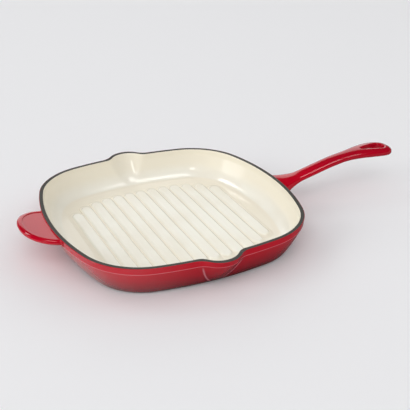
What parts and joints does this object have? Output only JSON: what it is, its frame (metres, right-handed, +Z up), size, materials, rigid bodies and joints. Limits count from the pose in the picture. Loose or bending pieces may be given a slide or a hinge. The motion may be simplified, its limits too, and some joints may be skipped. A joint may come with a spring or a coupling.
{
  "type": "grill pan",
  "caption": "Square enamelled cast-iron grill pan with a ribbed floor, two pouring spouts, a long handle with a hanging hole and a helper tab.",
  "frame": {"origin": "centre of the flat underside that the pan rests on", "axes": "+Z up, +X along the long handle, +Y towards one of the two spouts, ribs along Y"},
  "size_m": [0.4423, 0.2848, 0.0519],
  "materials": {
    "iron": "as cast, under the glass",
    "ground_coat": "matte black-grey fired ground coat",
    "cream_enamel": "glossy cream fired enamel",
    "red_enamel": "glossy red fired enamel"
  },
  "bodies": {
    "root": {"iron_casting": "iron", "ground_coat_rim": "ground_coat", "ground_coat_base": "ground_coat", "cream_enamel_interior": "cream_enamel", "red_enamel_wall": "red_enamel", "red_enamel_long_handle": "red_enamel", "red_enamel_helper_handle": "red_enamel"}
  },
  "joints": []
}
